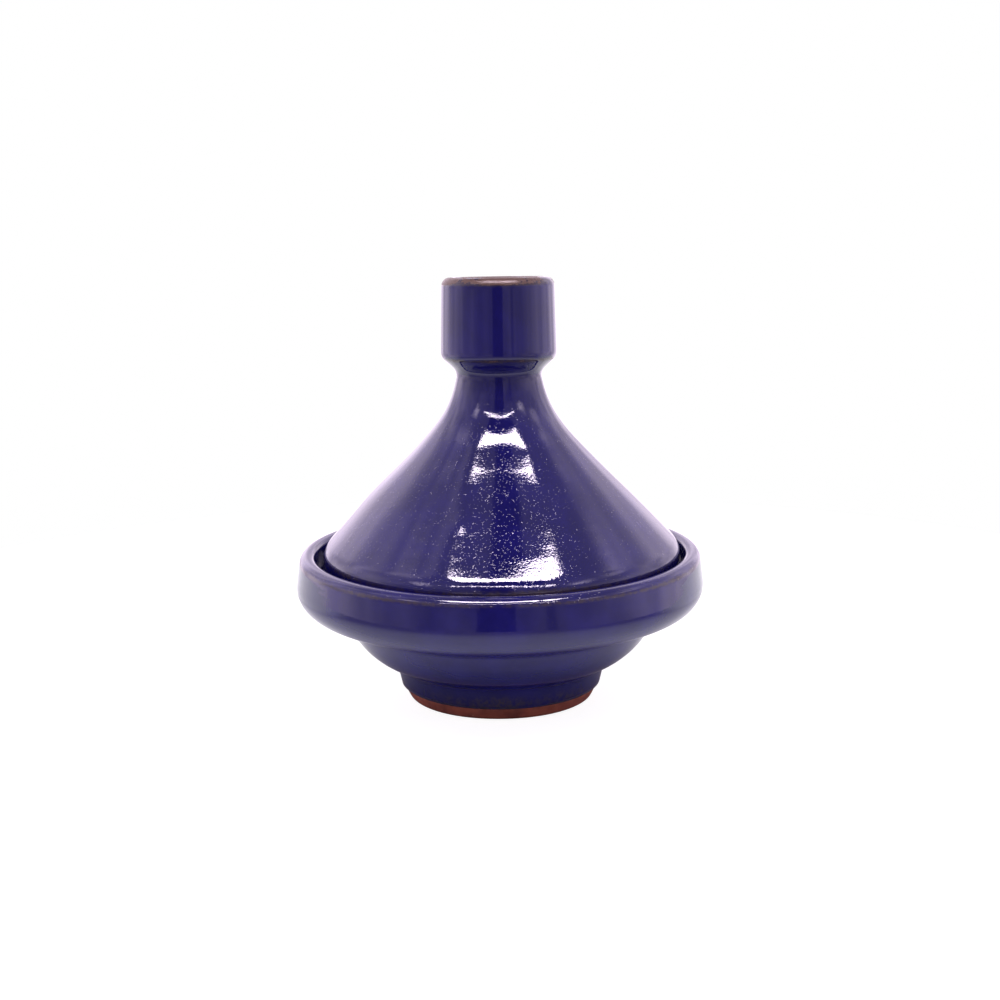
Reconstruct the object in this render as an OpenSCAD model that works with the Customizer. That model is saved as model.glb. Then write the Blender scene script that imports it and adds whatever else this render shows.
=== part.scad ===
// Small glazed tagine pot: a footed dish with a gallery rim, and a conical lid with a cup knob.
// Millimetres. +Z is up, and the origin is the centre of the foot, on the table.
// Every shape is turned about Z, as the potter's wheel makes it. An outline is a list of corners,
// each [radius, height, rounding], and the glaze is a coat of even thickness laid inside that outline.

/* [Dish] */
// Widest diameter of the rim collar
rim_d = 100; // [99.5:0.5:106]
// Height of the rim's top edge
dish_h = 36.4; // [36:0.1:37.4]
// Diameter of the foot, at the glaze line
foot_d = 49.2; // [46:0.2:50]
// Height of the foot, up to the crease under the bowl
foot_h = 8.4; // [8:0.1:9]
// Width of the foot ring that rests on the table
foot_ring_w = 5.2; // [4:0.1:8]
// Depth of the turned hollow inside the foot ring
foot_hollow = 3.2; // [2:0.1:3.6]
// Height of the crease between the bowl and the rim collar
collar_z = 20.4; // [19.8:0.1:21.4]
// Height of the ledge that the lid sits on
seat_z = 29.4; // [28.8:0.1:30]
// Lowest point of the bowl's floor, inside
floor_z = 10; // [9.4:0.1:11]

/* [Lid] */
// Diameter of the lid's flange, inside the gallery
flange_d = 87; // [84:0.5:87.5]
// Height of the shoulder where the flange turns into the cone
shoulder_z = 37; // [36.6:0.1:38]
// Slope of the cone, height gained for each unit of radius
cone_slope = 1.06; // [1.03:0.01:1.08]
// Diameter of the neck, under the knob
neck_d = 20.4; // [19:0.1:22]
// Height of the seam where the knob was joined to the cone
seam_z = 79.7; // [79.2:0.1:80.4]
// Thickness of the cone's wall
lid_wall = 4.2; // [3.6:0.1:4.8]
// Diameter of the cone's open top, which the knob's stem closes
top_hole_d = 10; // [8:0.2:11]
// Gap between the lid and the ledge it sits on
seat_gap = 0.2; // [0.1:0.05:0.4]

/* [Knob] */
// Height of the whole pot, up to the knob's rim
pot_h = 102.4; // [101:0.1:106]
// Diameter of the knob, at its foot
knob_d = 28; // [26.4:0.1:31]
// Amount the knob's diameter narrows from its foot to its rim
knob_taper = 1; // [0:0.1:1.6]
// Diameter of the cup in the knob, at its rim
cup_d = 19.4; // [16:0.1:20.4]
// Depth of the cup
cup_depth = 13.2; // [8:0.1:14]
// Length of the stem that closes the cone's open top
stem_len = 6; // [3:0.1:7]

/* [Glaze] */
// Thickness of the glaze coat
glaze_t = 0.4; // [0.3:0.05:0.5]
// Height of the glaze's lower edge on the dish's foot
foot_glaze_z = 3.2; // [2.6:0.1:4.4]
// Height of bare clay left on the lid's flange, above its seat
bare_flange = 2.2; // [1.6:0.1:4]

/* [Hidden] */
$fn = 120;
clay_colour = "#8f4a34";
glaze_colour = "#27277c";
arc_step = 6; // degrees of arc for each straight step of an outline
cut_size = 300; // a square wider than any outline, to cut one with

// Outside of the dish
foot_bevel = 2; // how far the bare foot leans in, from the glaze line to the table
foot_flare = 1.2; // how far the foot leans out, from the glaze line to its crease
belly = [8, 2.8]; // the belly's corner, out and up from the foot's crease
belly_round = 20;
bowl_out = 14.4; // how much wider the bowl is at the collar's crease than at the foot
collar_belly = [0.45, 4]; // the collar's lower corner, out from the rim's line and up from its crease
collar_round = 6.2;
collar_lean = 1.5; // how far the collar leans in, from its lower corner to the rim
rim_rise = 0.25; // how much higher the rim's outer edge is than its inner edge
rim_round = 2.1;
edge_round = 1.3; // the rounding of small edges

// Inside of the dish
gallery_gap = 1.9; // room around the lid's flange
gallery_lean = 0.6;
ledge_w = 6.6; // width of the ledge, in from the lid's flange
bowl_corner = [7.4, 2.8]; // the bowl's corner, in from the ledge and up from its floor
bowl_round = 14;
hollow_crown = 0.4; // how much deeper the foot's hollow is in its middle

// Lid and knob
cone_lead = 0.1; // how far the cone's foot stands outside the flange's line
shoulder_round = 2.4;
neck_out = 0.9; // how much wider the cone's corner is than the neck
neck_round = 20;
cove_rise = 0.6; // how far above the seam the cove under the knob lies
knob_rise = 3.8; // how far above the seam the knob's widest edge lies
cup_lean = 0.9; // how much the cup narrows towards its floor
cup_round = 4;
inner_round = 4; // the rounding of the cone's bare inside
cup_floor = 2; // thickness of clay under the cup, where the stem starts

// ---- Outlines: corners with a rounding become points ----

function flat(p) = [p[0], p[1]];
function rounding(p) = len(p) > 2 ? p[2] : 0;
function unit(v) = v / norm(v);
function polar(r, angle) = r * [cos(angle), sin(angle)];

// The arc that rounds corner b, between its neighbours a and c, with radius r.
function corner(a, b, c, r) =
    let (u = unit(a - b), v = unit(c - b), half = acos(u * v) / 2)
    let (start = b + u * r / tan(half), centre = b + unit(u + v) * r / sin(half))
    let (turn = 180 - 2 * half, steps = max(1, ceil(turn / arc_step)))
    let (side = sign(u[0] * v[1] - u[1] * v[0]))
    let (from = atan2(start[1] - centre[1], start[0] - centre[0]))
    [for (i = [0:steps]) centre + polar(r, from - side * turn * i / steps)];

// The points of an outline given as corners, each [radius, height, rounding].
function outline(corners) =
    let (last = len(corners) - 1)
    [for (i = [0:last])
        let (p = flat(corners[i]), r = rounding(corners[i]))
        each i == 0 || i == last || r == 0 ? [p] : corner(flat(corners[i - 1]), p, flat(corners[i + 1]), r)];

function left_of(v) = [-v[1], v[0]];

// An open outline moved sideways by d, to the left of its direction of travel.
function beside(points, d) =
    let (last = len(points) - 1)
    [for (i = [0:last])
        let (before = left_of(unit(points[max(i, 1)] - points[max(i, 1) - 1])))
        let (after = left_of(unit(points[min(i, last - 1) + 1] - points[min(i, last - 1)])))
        points[i] + (before + after) * d / (1 + before * after)];

function reversed(points) = [for (i = [len(points) - 1:-1:0]) points[i]];

module turned(points) {
    rotate_extrude() polygon(points);
}

// A coat of glaze whose outer face is the outline.
module coat(points) {
    turned(concat(points, reversed(beside(points, glaze_t))));
}

// ---- Dish ----

foot_r = foot_d / 2;
flange_r = flange_d / 2;
collar_r = rim_d / 2 + collar_belly[0];
ledge_r = flange_r - ledge_w;

// The glazed face of the dish, from the foot, over the rim, to the middle of the floor.
dish_face = outline([
    [foot_r, foot_glaze_z],
    [foot_r + foot_flare, foot_h, 0.9],
    [foot_r + belly[0], foot_h + belly[1], belly_round],
    [foot_r + bowl_out, collar_z, edge_round],
    [collar_r, collar_z + collar_belly[1], collar_round],
    [collar_r - collar_lean, dish_h + rim_rise, rim_round],
    [flange_r + gallery_gap, dish_h, edge_round],
    [flange_r + gallery_gap - gallery_lean, seat_z, edge_round],
    [ledge_r, seat_z, edge_round],
    [ledge_r - bowl_corner[0], floor_z + bowl_corner[1], bowl_round],
    [0, floor_z]
]);
dish_clay_face = beside(dish_face, glaze_t);
ring_outer_r = foot_r - foot_bevel;
ring_inner_r = ring_outer_r - foot_ring_w;

// The bare underside, from the middle of the turned hollow to the glaze line.
dish_underside = outline([
    [0, foot_hollow + hollow_crown],
    [ring_inner_r - 0.8, foot_hollow, 1.5],
    [ring_inner_r, 0, 0.6],
    [ring_outer_r, 0, 0.6],
    dish_clay_face[0]
]);

module dish() {
    color(clay_colour) turned(concat(dish_underside, dish_clay_face));
}

module dish_glaze() {
    color(glaze_colour) coat(dish_face);
}

// ---- Lid: a cone and a knob, thrown apart, luted at the seam and glazed together ----

neck_r = neck_d / 2;
knob_r = knob_d / 2;
lid_seat_z = seat_z + seat_gap;
cone_top_r = neck_r + neck_out;
cone_top_z = shoulder_z + cone_slope * (flange_r - cone_top_r);
cup_floor_z = pot_h - cup_depth;

// The glazed face of the lid, from the flange, up the cone and the knob, to the middle of the cup.
lid_face = outline([
    [flange_r, lid_seat_z + bare_flange],
    [flange_r + cone_lead, shoulder_z, shoulder_round],
    [cone_top_r, cone_top_z, neck_round],
    [neck_r - 0.1, seam_z + cove_rise, 1.8],
    [knob_r, seam_z + knob_rise, 1.7],
    [knob_r - knob_taper / 2, pot_h, 1.5],
    [cup_d / 2, pot_h, edge_round],
    [cup_d / 2 - cup_lean, cup_floor_z + 0.6, cup_round],
    [0, cup_floor_z]
]);
lid_clay_face = beside(lid_face, glaze_t);

flange_inner_r = flange_r - glaze_t - lid_wall;
wall_across = lid_wall * norm([1, cone_slope]) / cone_slope; // the wall, measured level
cone_inside_z = shoulder_z + cone_slope * (flange_r - glaze_t - wall_across - flange_inner_r);
hole_r = top_hole_d / 2;
hole_z = cone_inside_z + cone_slope * (flange_inner_r - hole_r);
stem_top_z = cup_floor_z - cup_floor;

// The bare inside, from the cone's open top to the flange's outer edge.
lid_inside = outline([
    [hole_r, stem_top_z],
    [hole_r, hole_z, inner_round],
    [flange_inner_r, cone_inside_z, inner_round],
    [flange_inner_r, lid_seat_z, 1],
    [lid_clay_face[0][0] - 0.1, lid_seat_z, 1],
    lid_clay_face[0]
]);

// The half plane below the seam, or above it.
module below_seam() {
    translate([0, seam_z - cut_size]) square(cut_size);
}

module above_seam() {
    translate([0, seam_z]) square(cut_size);
}

module lid_cone() {
    color(clay_colour) rotate_extrude() intersection() {
        polygon(concat([[0, stem_top_z]], lid_inside, lid_clay_face));
        below_seam();
    }
}

module lid_knob() {
    color(clay_colour) {
        rotate_extrude() intersection() {
            polygon(concat(lid_clay_face, [[0, 0]]));
            above_seam();
        }
        translate([0, 0, seam_z - stem_len]) cylinder(h = stem_len, d = top_hole_d);
    }
}

module lid_glaze() {
    color(glaze_colour) coat(lid_face);
}

dish();
dish_glaze();
lid_cone();
lid_knob();
lid_glaze();
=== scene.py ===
"""The looks of a small tagine pot in cobalt glaze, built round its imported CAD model.

The pot is turned: each piece is an outline swept about Z, as on the wheel. The outlines are in
millimetres and keep to the CAD, and each surface then gets the marks of hand and kiln: throwing
rings, a slight wobble, a rolled glaze edge, and glaze that thins to brown over sharp edges.
"""

import math

import bpy
import numpy as np
from mathutils import Matrix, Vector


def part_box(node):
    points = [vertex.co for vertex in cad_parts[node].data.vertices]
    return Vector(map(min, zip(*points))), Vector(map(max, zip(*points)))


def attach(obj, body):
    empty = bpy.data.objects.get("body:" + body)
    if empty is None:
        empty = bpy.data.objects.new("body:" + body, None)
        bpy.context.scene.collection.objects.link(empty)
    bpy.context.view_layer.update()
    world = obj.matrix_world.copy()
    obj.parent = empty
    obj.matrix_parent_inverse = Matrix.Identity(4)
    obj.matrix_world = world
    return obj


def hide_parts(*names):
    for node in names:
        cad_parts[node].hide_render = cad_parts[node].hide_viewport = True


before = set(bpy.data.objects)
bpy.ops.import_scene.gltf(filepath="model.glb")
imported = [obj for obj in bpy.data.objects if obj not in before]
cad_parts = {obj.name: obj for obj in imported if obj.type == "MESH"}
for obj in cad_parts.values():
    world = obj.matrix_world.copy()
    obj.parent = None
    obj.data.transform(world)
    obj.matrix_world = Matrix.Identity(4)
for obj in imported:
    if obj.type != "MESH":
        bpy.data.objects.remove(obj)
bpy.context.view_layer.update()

MM = 0.001  # metres in a millimetre
SEGMENTS = 480  # steps round each turned piece


# ---- Sizes, in millimetres, from the frame ----


def low_high(node):
    """The lowest and highest corners of a CAD node, in millimetres."""
    low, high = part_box(node)
    return low / MM, high / MM


dish_low, dish_high = low_high("dish_glaze")
lid_low, lid_high = low_high("lid_glaze")
cone_low, cone_high = low_high("lid_cone")
knob_low, knob_high = low_high("lid_knob")

GLAZE = 0.4  # thickness of the glaze coat
SEAT_GAP = 0.2  # between the lid and the ledge it sits on
CONE_LEAD = 0.1  # how far the cone's foot stands outside the flange's line
RIM_R = dish_high.x
RIM_Z = dish_high.z
GLAZE_LINE_Z = dish_low.z
CONE_FOOT_R = lid_high.x
FLANGE_R = CONE_FOOT_R - CONE_LEAD
FLANGE_GLAZE_Z = lid_low.z  # the lower edge of the lid's glaze
LID_SEAT_Z = cone_low.z
SEAT_Z = LID_SEAT_Z - SEAT_GAP
SEAM_Z = cone_high.z  # where the knob was joined to the cone
TOP_Z = lid_high.z
STEM_Z = knob_low.z  # the lower end of the stem that closes the cone's open top
KNOB_R = knob_high.x + GLAZE

FOOT_R = 24.6  # at the glaze line
FOOT_BEVEL = 2.0  # how far the bare foot leans in, down to the table
FOOT_TOP = (FOOT_R + 1.2, 8.4)
CREASE = (FOOT_R + 14.4, 20.4)  # between the bowl and the rim collar
FLOOR_Z = 10.0
HOLLOW = (3.2, 3.6)  # height of the hollow under the dish, at its edge and in its middle
FOOT_RING_W = 5.2
GALLERY_R = CONE_FOOT_R + 1.8  # the wall round the lid's flange
LEDGE_R = CONE_FOOT_R - 6.7  # the inner edge of the ledge that the lid sits on
SHOULDER_Z = 37.0
SLOPE = 1.06  # of the cone, height gained for each unit of radius
NECK_R = 10.2
CUP_R = 9.7
CUP_Z = 89.2  # floor of the knob's cup
HOLE_R = 5.0  # of the cone's open top
LID_WALL = 4.2


# ---- Outlines: corners with a rounding become evenly spaced points ----


def unit(v):
    return v / np.linalg.norm(v)


def rounded(before, here, after, radius):
    """The arc that rounds a corner, every 4 degrees."""
    u, v = unit(before - here), unit(after - here)
    half = math.acos(float(np.clip(u @ v, -1, 1))) / 2
    start = here + u * radius / math.tan(half)
    centre = here + unit(u + v) * radius / math.sin(half)
    turn = math.pi - 2 * half
    side = math.copysign(1, u[0] * v[1] - u[1] * v[0])
    first = math.atan2(*(start - centre)[::-1])
    steps = max(1, math.ceil(math.degrees(turn) / 4))
    angles = first - side * turn * np.arange(steps + 1) / steps
    return [centre + radius * np.array([math.cos(a), math.sin(a)]) for a in angles]


def outline(corners):
    """The points of an open outline, from corners given as (radius, height, rounding)."""
    flat = [np.array(corner[:2], float) for corner in corners]
    points = [flat[0]]
    for i in range(1, len(corners) - 1):
        radius = corners[i][2] if len(corners[i]) > 2 else 0
        points += rounded(flat[i - 1], flat[i], flat[i + 1], radius) if radius else [flat[i]]
    return np.array(points + [flat[-1]])


def spaced(points, step):
    """The same outline with points about a step apart."""
    lengths = np.linalg.norm(np.diff(points, axis=0), axis=1)
    along = np.concatenate([[0], np.cumsum(lengths)])
    count = max(2, math.ceil(along[-1] / step) + 1)
    places = np.linspace(0, along[-1], count)
    return np.stack([np.interp(places, along, points[:, k]) for k in (0, 1)], axis=1)


def normals(points):
    """Unit normals of an outline, to the right of its direction of travel."""
    run = np.gradient(points, axis=0)
    run /= np.linalg.norm(run, axis=1, keepdims=True)
    return np.stack([run[:, 1], -run[:, 0]], axis=1)


# ---- Relief: smooth random waves, periodic round the pot ----


def waves(theta, along, seed, turns, length, count=24):
    """A smooth random field of unit strength, with up to so many waves round the pot and about
    so many millimetres to a wave along the outline."""
    rng = np.random.default_rng(seed)
    total = np.zeros(np.broadcast(theta, along).shape)
    for _ in range(count):
        around = rng.integers(-turns, turns + 1)
        lengthwise = rng.uniform(-1, 1) * 2 * math.pi / length
        total += np.cos(around * theta + lengthwise * along + rng.uniform(0, 2 * math.pi))
    return total / math.sqrt(count / 2)


def bump(x, centre, width):
    """A smooth hump of height 1 about a centre."""
    return np.exp(-(((x - centre) / width) ** 2))


def hand_marks(theta, height, marks):
    """Soft humps and dents left by the potter's hand: azimuth in degrees to the right of the
    front, height, half widths round the pot in degrees and upward in millimetres, and depth."""
    total = 0
    for azimuth, z, around, up, depth in marks:
        turn = theta + math.pi / 2 - math.radians(azimuth)
        total = total + depth * bump(np.sin(turn / 2) * 2, 0, math.radians(around)) * bump(height, z, up)
    return total


def smooth_step(x, low, high):
    """0 before low, 1 past high, and smooth between. Low may be the larger."""
    t = np.clip((x - low) / (high - low), 0, 1)
    return t * t * (3 - 2 * t)


# ---- Turned meshes ----


def turned(name, points, body, slot, relief, place, fields=None, closed=False):
    """A mesh swept about Z from an outline that starts and ends on the axis, or from a closed one.

    relief(theta, radius, height) gives how far each point moves out from the axis, in millimetres.
    The clay and the glaze on it share one relief, so the coat keeps its thickness. place moves whole
    points, and fields(theta, radius, height) are kept as attributes for the material.
    """
    theta = np.arange(SEGMENTS) * 2 * math.pi / SEGMENTS
    ends = 0 if closed else 1
    ring = points[ends : len(points) - ends]
    radius, height = ring[:, :1], ring[:, 1:]
    moved = radius + relief(theta, radius, height) * smooth_step(radius, 0, 8)
    xyz = np.stack([moved * np.cos(theta), moved * np.sin(theta), height + 0 * theta], axis=2)
    xyz = place(xyz)
    vertices = xyz.reshape(-1, 3)
    rows = np.arange(len(ring))
    if not closed:
        rows = rows[:-1]
    next_row = (rows + 1) % len(ring)
    here = np.arange(SEGMENTS)
    right = (here + 1) % SEGMENTS
    quads = np.stack(
        [
            (rows[:, None] * SEGMENTS + here).ravel(),
            (rows[:, None] * SEGMENTS + right).ravel(),
            (next_row[:, None] * SEGMENTS + right).ravel(),
            (next_row[:, None] * SEGMENTS + here).ravel(),
        ],
        axis=1,
    )
    faces = quads.tolist()
    if not closed:
        poles = [xyz[0].mean(axis=0), xyz[-1].mean(axis=0)]
        poles[0][2] = points[0, 1] + xyz[0, :, 2].mean() - ring[0, 1]
        poles[1][2] = points[-1, 1] + xyz[-1, :, 2].mean() - ring[-1, 1]
        first, last = len(vertices), len(vertices) + 1
        vertices = np.concatenate([vertices, poles])
        top = (len(ring) - 1) * SEGMENTS
        faces += [[int(right[i]), int(i), first] for i in here]
        faces += [[int(top + i), int(top + right[i]), last] for i in here]
    mesh = bpy.data.meshes.new(name)
    mesh.from_pydata((vertices * MM).tolist(), [], faces)
    mesh.polygons.foreach_set("use_smooth", [True] * len(mesh.polygons))
    for field, function in (fields or {}).items():
        values = np.broadcast_to(function(theta, radius, height), xyz.shape[:2]).reshape(-1)
        values = np.concatenate([values, np.zeros(len(vertices) - len(values))])
        mesh.attributes.new(field, "FLOAT", "POINT").data.foreach_set("value", values)
    mesh.validate()
    piece = bpy.data.objects.new(name, mesh)
    bpy.context.scene.collection.objects.link(piece)
    piece.data.materials.append(MATERIALS[slot])
    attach(piece, body)
    return piece


# ---- Materials ----


def add(tree, kind, inputs=None, **settings):
    """A shader node with its settings and inputs. An input is a number, a colour or a socket."""
    node = tree.nodes.new(kind)
    for name, value in settings.items():
        setattr(node, name, value)
    for name, value in (inputs or {}).items():
        if isinstance(value, bpy.types.NodeSocket):
            tree.links.new(value, node.inputs[name])
        else:
            node.inputs[name].default_value = value
    return node


def new_material(name):
    material = bpy.data.materials.new(name)
    material.use_nodes = True
    tree = material.node_tree
    tree.nodes.clear()
    shader = add(tree, "ShaderNodeBsdfPrincipled")
    add(tree, "ShaderNodeOutputMaterial", {"Surface": shader.outputs["BSDF"]})
    coordinates = add(tree, "ShaderNodeTexCoord").outputs["Object"]
    return material, tree, shader, coordinates


def noise(tree, coordinates, size_mm, detail=2.0, roughness=0.5):
    """Noise whose lumps are about so many millimetres wide."""
    inputs = {
        "Vector": coordinates,
        "Scale": 1 / (size_mm * MM),
        "Detail": detail,
        "Roughness": roughness,
    }
    return add(tree, "ShaderNodeTexNoise", inputs).outputs["Fac"]


def ramp(tree, value, low, high, to_low=0.0, to_high=1.0):
    """A value mapped smoothly from one range to another."""
    inputs = {
        "Value": value,
        "From Min": low,
        "From Max": high,
        "To Min": to_low,
        "To Max": to_high,
    }
    return add(tree, "ShaderNodeMapRange", inputs, interpolation_type="SMOOTHSTEP").outputs[0]


def maths(tree, operation, a, b):
    node = add(tree, "ShaderNodeMath", {0: a, 1: b}, operation=operation)
    return node.outputs[0]


def product(tree, a, b):
    return maths(tree, "MULTIPLY", a, b)


def from_point(tree, x, y, x0, y0):
    """The distance of (x, y) from a point."""
    gaps = [maths(tree, "SUBTRACT", x, x0), maths(tree, "SUBTRACT", y, y0)]
    squares = [product(tree, gap, gap) for gap in gaps]
    return maths(tree, "SQRT", maths(tree, "ADD", *squares), 0.0)


def mix_value(tree, factor, a, b):
    return add(tree, "ShaderNodeMix", {0: factor, 2: a, 3: b}, data_type="FLOAT").outputs[0]


def band(tree, value, low, high, soft):
    """1 where the value lies between low and high, and 0 outside, with soft edges."""
    above = ramp(tree, value, low - soft, low + soft)
    below = ramp(tree, value, high - soft, high + soft, 1.0, 0.0)
    return product(tree, above, below)


def mix_colour(tree, factor, a, b):
    node = add(tree, "ShaderNodeMix", {0: factor, 6: a, 7: b}, data_type="RGBA")
    return node.outputs[2]


def dots(tree, coordinates, cell_mm, share, low, high):
    """Round dots scattered over the surface, about one to a cell in a share of the cells. Each
    is 1 inside the radius low, in cells, and 0 outside the radius high."""
    cells = add(tree, "ShaderNodeTexVoronoi", {"Vector": coordinates, "Scale": 1 / (cell_mm * MM)})
    chosen = maths(tree, "LESS_THAN", cells.outputs["Color"], share)
    near = ramp(tree, cells.outputs["Distance"], low, high, 1.0, 0.0)
    return product(tree, chosen, near)


def raised(tree, height, distance_mm, before=None):
    """A bump node, chained after another one."""
    inputs = {"Height": height, "Distance": distance_mm * MM, "Strength": 1.0}
    if before:
        inputs["Normal"] = before
    return add(tree, "ShaderNodeBump", inputs).outputs["Normal"]


def cobalt_glaze():
    """Glossy cobalt, darker where it pools, dusky and then brown where it thins, with a fine
    orange peel, pimples that sparkle, and a few pinholes. The attribute thin says how thin the
    glaze is, and grain how rough its surface is."""
    material, tree, shader, at = new_material("cobalt_glaze")
    pooled = (0.0060, 0.0052, 0.080, 1)
    cobalt = (0.0086, 0.0073, 0.110, 1)
    dusky = (0.038, 0.029, 0.052, 1)
    brown = (0.105, 0.055, 0.040, 1)
    colour = mix_colour(tree, ramp(tree, noise(tree, at, 9, 3), 0.35, 0.7), pooled, cobalt)
    thin = add(tree, "ShaderNodeAttribute", attribute_name="thin").outputs["Fac"]
    ragged = ramp(tree, noise(tree, at, 1.3, 4, 0.65), 0.3, 0.7, -0.2, 0.2)
    thin = maths(tree, "ADD", thin, product(tree, ragged, ramp(tree, thin, 0.0, 0.5)))
    colour = mix_colour(tree, ramp(tree, thin, 0.1, 0.6), colour, dusky)
    worn = ramp(tree, thin, 0.72, 0.9)
    colour = mix_colour(tree, worn, colour, brown)
    pits = dots(tree, at, 5.0, 0.10, 0.05, 0.09)
    colour = mix_colour(tree, pits, colour, (0.02, 0.012, 0.012, 1))
    tree.links.new(colour, shader.inputs["Base Color"])
    rough = ramp(tree, noise(tree, at, 4, 2), 0.3, 0.7, 0.03, 0.06)
    rough = maths(tree, "ADD", rough, product(tree, worn, 0.35))
    tree.links.new(rough, shader.inputs["Roughness"])
    grain = add(tree, "ShaderNodeAttribute", attribute_name="grain").outputs["Fac"]
    peel = raised(tree, noise(tree, at, 2.2, 2, 0.5), 0.006)
    fine = raised(tree, product(tree, noise(tree, at, 0.45, 1), grain), 0.012, peel)
    peaks = ramp(tree, noise(tree, at, 0.45, 1), 0.66, 0.85)
    pimples = raised(tree, product(tree, peaks, grain), 0.055, fine)
    holes = raised(tree, pits, -0.15, pimples)
    tree.links.new(holes, shader.inputs["Normal"])
    shader.inputs["IOR"].default_value = 1.52
    return material


def terracotta():
    material, tree, shader, at = new_material("terracotta")
    red = (0.36, 0.094, 0.056, 1)
    dark = (0.21, 0.052, 0.035, 1)
    sandy = (0.50, 0.22, 0.14, 1)
    colour = mix_colour(tree, ramp(tree, noise(tree, at, 6, 4, 0.6), 0.35, 0.7), red, dark)
    colour = mix_colour(tree, dots(tree, at, 1.1, 0.25, 0.05, 0.25), colour, sandy)
    tree.links.new(colour, shader.inputs["Base Color"])
    tree.links.new(ramp(tree, noise(tree, at, 2, 3), 0.3, 0.7, 0.7, 0.9), shader.inputs["Roughness"])
    fine = raised(tree, noise(tree, at, 0.5, 4, 0.7), 0.06)
    coarse = raised(tree, noise(tree, at, 2.5, 3, 0.6), 0.1, fine)
    tree.links.new(coarse, shader.inputs["Normal"])
    return material


MATERIALS = {"cobalt_glaze": cobalt_glaze(), "terracotta": terracotta()}


# ---- Dish ----


DISH_ASIDE = -0.25  # how far to the right of the axis the dish sits
LID_ASIDE = 0.2
KNOB_LEAN = 3.0  # degrees


def set_dish(xyz):
    """The dish and the lid were thrown by hand, and sit a little off each other's axis."""
    return xyz + np.array([DISH_ASIDE, 0, 0])


def set_lid(xyz):
    """The knob was joined on by hand and leans back a little."""
    leaning = np.radians(KNOB_LEAN) * smooth_step(xyz[..., 2], SEAM_Z - 3, SEAM_Z + 3)
    x, y, up = xyz[..., 0] + LID_ASIDE, xyz[..., 1], xyz[..., 2] - SEAM_Z
    back = y * np.cos(leaning) + up * np.sin(leaning)
    height = SEAM_Z + up * np.cos(leaning) - y * np.sin(leaning)
    return np.stack([x, back, height], axis=-1)


# The glazed face of the dish, from the foot, over the rim, to the middle of the floor.
DISH_FACE = [
    (FOOT_R, GLAZE_LINE_Z),
    (*FOOT_TOP, 0.9),
    (FOOT_R + 8, FOOT_TOP[1] + 2.8, 20),
    (*CREASE, 0.9),
    (RIM_R + 0.55, CREASE[1] + 4, 6.2),
    (RIM_R - 0.95, RIM_Z + 0.25, 2.1),
    (GALLERY_R, RIM_Z, 1.3),
    (GALLERY_R - 0.6, SEAT_Z, 1.3),
    (LEDGE_R, SEAT_Z, 1.3),
    (LEDGE_R - 7.4, FLOOR_Z + 2.8, 14),
    (0, FLOOR_Z),
]


def inside_of(points, depth):
    """An outline moved in under its own surface."""
    moved = points - normals(points) * depth
    moved[-1, 0] = 0
    return moved


def dish_relief(theta, radius, height):
    rings = 0.008 * np.cos(2 * math.pi * height / 2.2 + theta + waves(theta, height, 1, 3, 20))
    return rings + 0.06 * waves(theta, height, 2, 6, 18)


def dish_thin(theta, radius, height):
    lip = bump(height, RIM_Z - 1.4, 0.5) * (radius > RIM_R - 2) * 0.6
    foot = smooth_step(height, 9, 4.5) * 0.35
    return (lip + foot) * (0.9 + 0.2 * waves(theta, height, 3, 9, 20))


def dish_grain(theta, radius, height):
    return 0.35 + 0.65 * (height > RIM_Z - 2)


def dish_glaze():
    face = spaced(outline(DISH_FACE), 0.8)
    points = np.concatenate([inside_of(spaced(face, 3), GLAZE)[::-1], face])
    fields = {"thin": dish_thin, "grain": dish_grain}
    return turned("dish_glaze", points, "dish", "cobalt_glaze", dish_relief, set_dish, fields)


def dish():
    face = inside_of(spaced(outline(DISH_FACE), 1.3), GLAZE)
    ring_outer = FOOT_R - FOOT_BEVEL
    ring_inner = ring_outer - FOOT_RING_W
    underside = outline(
        [
            (0, HOLLOW[1]),
            (ring_inner - 0.8, HOLLOW[0], 1.5),
            (ring_inner, 0, 0.6),
            (ring_outer, 0, 0.6),
            tuple(face[0]),
        ]
    )
    points = np.concatenate([spaced(underside, 0.6), face[1:]])
    return turned("dish", points, "dish", "terracotta", dish_relief, set_dish)


dish_glaze_piece = dish_glaze()
dish_piece = dish()
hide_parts("dish_glaze")
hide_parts("dish")


# ---- Lid ----

CONE_TOP_R = NECK_R + 2.0  # the corner that turns the cone's slope up into the neck
BELLY_R = CONE_FOOT_R - 1.1  # where the cone starts to steepen, down to its shoulder

# The glazed face of the lid, from the flange, up the cone and the knob, to the middle of the cup.
LID_FACE = [
    (FLANGE_R, FLANGE_GLAZE_Z),
    (FLANGE_R, SHOULDER_Z - 0.2, 1.6),
    (BELLY_R, SHOULDER_Z + 1.7, 5),
    (CONE_TOP_R, SHOULDER_Z + SLOPE * (FLANGE_R - CONE_TOP_R), 30),
    (NECK_R - 0.2, SEAM_Z + 0.6, 2.6),
    (KNOB_R, SEAM_Z + 4.2, 2.4),
    (KNOB_R - 0.5, TOP_Z + 0.4, 2.0),
    (CUP_R, TOP_Z + 0.4, 1.3),
    (CUP_R - 0.9, CUP_Z + 0.6, 4),
    (0, CUP_Z),
]

# Dents and humps on the cone: degrees to the right of the front, height, half width round the pot
# in degrees, half width upward, and how far out. Lengths are in millimetres.
LID_MARKS = [
    (1, 56.5, 60, 4.5, -0.40),
    (-16, 50.0, 4, 2.0, 0.14),
    (9, 38.6, 13, 3.0, -0.20),
    (-95, 50.5, 30, 7.0, 0.70),
    (85, 45.0, 30, 9.0, 0.30),
    (180, 48.0, 40, 7.0, 0.30),
    (90, 66.0, 40, 4.0, 0.15),
    (-90, 66.0, 40, 4.0, 0.35),
]


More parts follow.
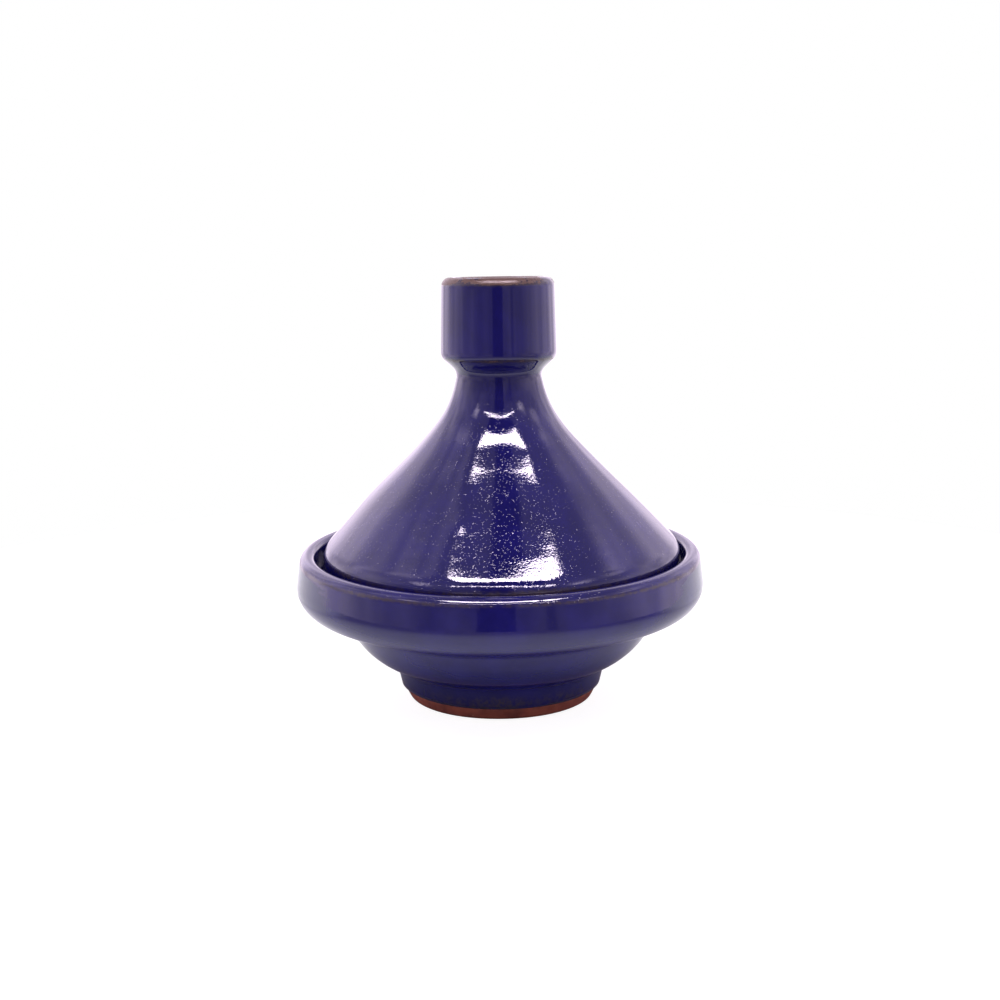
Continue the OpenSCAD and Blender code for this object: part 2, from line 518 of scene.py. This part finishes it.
def lid_relief(theta, radius, height):
    cone = smooth_step(radius, NECK_R, NECK_R + 4) * (height < SEAM_Z)
    rings = 0.005 * cone * np.cos(2 * math.pi * height / 2.5 + theta + waves(theta, height, 5, 3, 20))
    marks = cone * hand_marks(theta, height, LID_MARKS)
    neck = bump(height, SEAM_Z - 4, 4) * (radius < NECK_R + 4)
    drips = 0.015 * neck * waves(theta, height, 8, 16, 60)
    return rings + marks + drips + (0.02 + 0.06 * cone) * waves(theta, height, 6, 3, 40)


def lid_thin(theta, radius, height):
    top = smooth_step(height, TOP_Z - 2.0, TOP_Z - 0.8) + (radius < CUP_R + 0.5) * (height > TOP_Z - 1.6)
    edge = bump(height, SEAM_Z + 3.7, 0.45) * (radius > KNOB_R - 1.5) * 0.6
    shoulder = bump(height, SHOULDER_Z - 0.9, 0.8) * (radius > CONE_FOOT_R - 2) * 0.5
    return (top + edge + shoulder) * (0.9 + 0.25 * waves(theta, height, 4, 9, 20))


def lid_grain(theta, radius, height):
    return 0.3 + 0.7 * smooth_step(radius, NECK_R + 1, NECK_R + 6) * (height < SEAM_Z)


def lid_glaze():
    face = spaced(outline(LID_FACE), 0.7)
    points = np.concatenate([inside_of(spaced(face, 3), GLAZE)[::-1], face])
    fields = {"thin": lid_thin, "grain": lid_grain}
    return turned("lid_glaze", points, "lid", "cobalt_glaze", lid_relief, set_lid, fields)


def clay_face():
    """The lid's clay surface under the glaze, from the flange up, parted at the seam."""
    face = inside_of(spaced(outline(LID_FACE), 0.6), GLAZE)
    over = int(np.argmax(face[:, 1] > SEAM_Z))
    seam = np.array([np.interp(SEAM_Z, face[over - 1 : over + 1, 1], face[over - 1 : over + 1, 0]), SEAM_Z])
    return np.concatenate([face[:over], [seam]]), np.concatenate([[seam], face[over:]])


def lid_cone():
    face, _ = clay_face()
    flange_inner = FLANGE_R - GLAZE - LID_WALL
    across = LID_WALL * math.hypot(1, SLOPE) / SLOPE  # the cone's wall, measured level
    inside_z = SHOULDER_Z + SLOPE * (FLANGE_R - GLAZE - across - flange_inner)
    hole_z = inside_z + SLOPE * (flange_inner - HOLE_R)
    inside = outline(
        [
            tuple(face[-1]),
            (HOLE_R, SEAM_Z),
            (HOLE_R, hole_z, 4),
            (flange_inner, inside_z, 4),
            (flange_inner, LID_SEAT_Z, 1),
            (CONE_FOOT_R - GLAZE - 0.2, LID_SEAT_Z, 1),
            tuple(face[0]),
        ]
    )
    points = np.concatenate([spaced(inside, 0.7), face[1:-1]])
    return turned("lid_cone", points, "lid", "terracotta", lid_relief, set_lid, closed=True)


def lid_knob():
    _, face = clay_face()
    stem = outline([(0, STEM_Z), (HOLE_R, STEM_Z, 1), (HOLE_R, SEAM_Z), tuple(face[0])])
    points = np.concatenate([spaced(stem, 0.6), face[1:]])
    return turned("lid_knob", points, "lid", "terracotta", lid_relief, set_lid)


lid_glaze_piece = lid_glaze()
lid_cone_piece = lid_cone()
lid_knob_piece = lid_knob()
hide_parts("lid_glaze")
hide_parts("lid_cone")
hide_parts("lid_knob")


# ---- Camera, light and floor ----

CAMERA_BACK = 0.390  # metres in front of the pot's axis
CAMERA_UP = 0.1282  # metres above the table
CAMERA_DOWN = math.radians(11.54)
CAMERA_ROLL = math.radians(0.79)
LAMP = 11.0  # strength of the lamps over the tent
GLOSSY_LAMP = 4 * LAMP  # the same lamps, as the glaze reflects them
DARK = 0.08  # strength of the tent's slits
# Bright folds of the cloth overhead: how far right, how far ahead, how far each one reaches and how
# bright it is.
TENT_FOLDS = [
    (-1.20, 0.90, 0.35, 5.0),
    (1.20, 0.95, 0.40, 5.0),
    (-0.85, 0.10, 0.45, 1.8),
    (0.95, -0.25, 0.35, 1.4),
    (1.45, 0.10, 0.35, 1.4),
]
TABLE_R = 0.24  # metres
TABLE_SIDES = 96

camera_data = bpy.data.cameras.new("camera")
camera_data.sensor_width = 36
camera_data.lens = 58.5
camera = bpy.data.objects.new("camera", camera_data)
bpy.context.scene.collection.objects.link(camera)
camera.matrix_world = (
    Matrix.Translation((0, -CAMERA_BACK, CAMERA_UP))
    @ Matrix.Rotation(math.pi / 2 - CAMERA_DOWN, 4, "X")
    @ Matrix.Rotation(-CAMERA_ROLL, 4, "Z")
)
bpy.context.scene.camera = camera
bpy.context.scene.view_settings.view_transform = "Standard"


def patch(tree, across, ahead, width, depth):
    """1 in a patch of the tent's ceiling and 0 outside. The width runs across and the depth runs
    ahead, and each is (from, to, softness)."""
    return product(tree, band(tree, across, *width), band(tree, ahead, *depth))


def tent_light():
    """A white light tent: bright behind and dim in front, with an even ceiling, a lamp panel, a
    thin strip lamp, and dark slits. The camera itself sees plain white."""
    world = bpy.data.worlds.new("tent")
    bpy.context.scene.world = world
    world.use_nodes = True
    tree = world.node_tree
    tree.nodes.clear()
    toward = add(tree, "ShaderNodeTexCoord").outputs["Generated"]
    x, y, z = add(tree, "ShaderNodeSeparateXYZ", {"Vector": toward}).outputs
    # Where a ray meets the tent's ceiling, in units of its height: to the right, and to the front.
    upward = maths(tree, "MAXIMUM", z, 0.05)
    across = maths(tree, "DIVIDE", x, upward)
    ahead = maths(tree, "DIVIDE", product(tree, y, -1.0), upward)

    walls = ramp(tree, y, -0.95, 0.7, 0.42, 1.8)
    folds = add(tree, "ShaderNodeTexNoise", {"Vector": toward, "Scale": 3.0, "Detail": 2.0})
    walls = product(tree, walls, ramp(tree, folds.outputs["Fac"], 0.3, 0.7, 0.7, 1.3))
    ceiling = ramp(tree, z, 0.5, 0.85)
    walls = mix_value(tree, ceiling, walls, 0.55)

    # The panel's rear edge is an arc, which is furthest ahead in its middle.
    arc = maths(tree, "ADD", ahead, product(tree, across, across))
    panel = patch(tree, across, ahead, (-0.41, 0.45, 0.02), (0.0, 0.55, 0.02))
    panel = product(tree, panel, ramp(tree, arc, 0.35, 0.37))
    strip = patch(tree, across, ahead, (-0.78, 0.74, 0.03), (1.00, 1.045, 0.015))
    lamps = maths(tree, "MAXIMUM", panel, strip)
    gap = patch(tree, across, ahead, (-0.42, 0.46, 0.04), (0.55, 0.98, 0.02))
    slit = patch(tree, across, ahead, (-0.08, 0.18, 0.02), (-0.05, 0.62, 0.04))
    front_slit = product(tree, band(tree, x, -0.20, 0.15, 0.01), ramp(tree, y, -0.7, -0.8))
    edge_slit = product(tree, band(tree, x, 0.42, 0.50, 0.02), ramp(tree, y, -0.7, -0.8, 0.0, 0.5))
    dark = maths(tree, "MAXIMUM", maths(tree, "MAXIMUM", gap, slit), front_slit)
    dark = maths(tree, "MAXIMUM", dark, edge_slit)
    light = mix_value(tree, dark, walls, DARK)
    for x0, y0, reach, strength in TENT_FOLDS:
        distance = from_point(tree, across, ahead, x0, y0)
        distance = maths(tree, "ADD", distance, ramp(tree, folds.outputs["Fac"], 0.3, 0.7, -0.15, 0.15))
        light = maths(tree, "ADD", light, ramp(tree, distance, 0.0, reach, strength, 0.0))
    glossy_ray = add(tree, "ShaderNodeLightPath").outputs["Is Glossy Ray"]
    light = mix_value(tree, lamps, light, mix_value(tree, glossy_ray, LAMP, GLOSSY_LAMP))

    lit = add(tree, "ShaderNodeBackground", {"Color": (1.0, 0.86, 1.02, 1), "Strength": light})
    seen = add(tree, "ShaderNodeBackground", {"Color": (1, 1, 1, 1), "Strength": 1.0})
    camera_ray = add(tree, "ShaderNodeLightPath").outputs["Is Camera Ray"]
    both = add(tree, "ShaderNodeMixShader", {0: camera_ray, 1: lit.outputs[0], 2: seen.outputs[0]})
    add(tree, "ShaderNodeOutputWorld", {"Surface": both.outputs[0]})


def white_table():
    """A round white table. The camera sees it lit from below, so that the shadow stays pale. The
    pot sees it glow in a ring round the foot, and behind the pot."""
    theta = np.arange(TABLE_SIDES) * 2 * math.pi / TABLE_SIDES
    rim = [(TABLE_R * math.cos(t), TABLE_R * math.sin(t), 0) for t in theta]
    mesh = bpy.data.meshes.new("floor")
    mesh.from_pydata(rim, [], [list(range(TABLE_SIDES))])
    table = bpy.data.objects.new("floor", mesh)
    bpy.context.scene.collection.objects.link(table)
    material, tree, shader, at = new_material("white_table")
    camera_ray = add(tree, "ShaderNodeLightPath").outputs["Is Camera Ray"]
    x, y, _ = add(tree, "ShaderNodeSeparateXYZ", {"Vector": at}).outputs
    out = from_point(tree, x, y, 0.0, 0.0)
    glow = product(tree, ramp(tree, out, 0.026, 0.062), ramp(tree, out, 0.07, 0.18, 0.9, 0.0))
    behind = product(tree, ramp(tree, y, -0.04, 0.04), ramp(tree, out, 0.08, 0.13, 0.0, 1.0))
    glow = maths(tree, "MAXIMUM", glow, behind)
    shader.inputs["Base Color"].default_value = (0.35, 0.35, 0.35, 1)
    shader.inputs["Roughness"].default_value = 0.9
    shader.inputs["Emission Color"].default_value = (1, 1, 1, 1)
    tree.links.new(mix_value(tree, camera_ray, glow, 0.88), shader.inputs["Emission Strength"])
    table.data.materials.append(material)


tent_light()
white_table()
